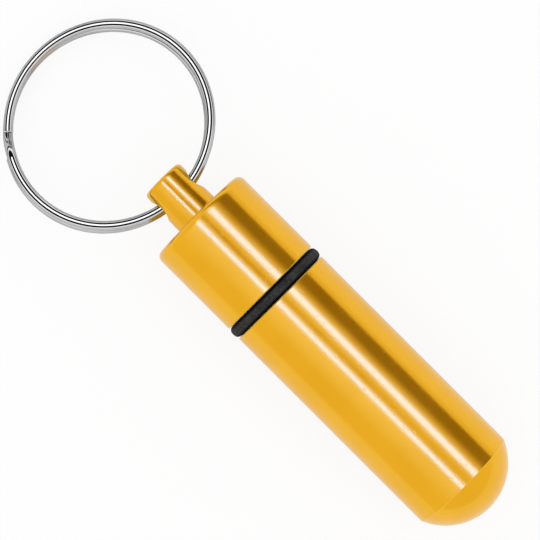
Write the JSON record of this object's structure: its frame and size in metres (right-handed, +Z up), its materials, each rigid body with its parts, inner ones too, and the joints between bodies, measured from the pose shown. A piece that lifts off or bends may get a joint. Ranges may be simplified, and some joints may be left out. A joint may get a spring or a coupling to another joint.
{
  "type": "pill fob keychain",
  "caption": "Turned metal pill fob for keys: a domed tube closed by a screw cap with a rubber seal, and a split ring through the drilled knob on the cap.",
  "frame": {"origin": "on the floor under the middle of the whole fob, which lies on its side", "axes": "+X along the tube's axis from the key ring to the domed end, +Z up, +Y across the fob along the eye"},
  "size_m": [0.089, 0.03, 0.016],
  "materials": {
    "gold_anodised": "bright gold anodised, finely turned",
    "seal_rubber": "black, satin",
    "ring_steel": "bright nickel-plated wire"
  },
  "bodies": {
    "tube_body": {"tube": "gold_anodised"},
    "seal_body": {"o_ring": "seal_rubber"},
    "cap_body": {"screw_cap": "gold_anodised"},
    "ring_body": {"split_ring": "ring_steel"}
  },
  "joints": [
    {"name": "cap_lift", "type": "slide", "parent": "tube_body", "child": "seal_body", "axis": [-1, 0, 0], "range_m": [0, 0.0065]},
    {"name": "cap_turn", "type": "hinge", "parent": "seal_body", "child": "cap_body", "pos_m": [0, 0, 0.008], "axis": [-1, 0, 0], "range_deg": [0, 2340]},
    {"name": "ring_swing", "type": "hinge", "parent": "cap_body", "child": "ring_body", "pos_m": [-0.01604, 0, 0.008], "axis": [0, 1, 0], "range_deg": [-143, 170]}
  ],
  "couplings": [
    {"joint": "cap_lift", "follows": "cap_turn", "m_per_rad": 0.00015915}
  ]
}
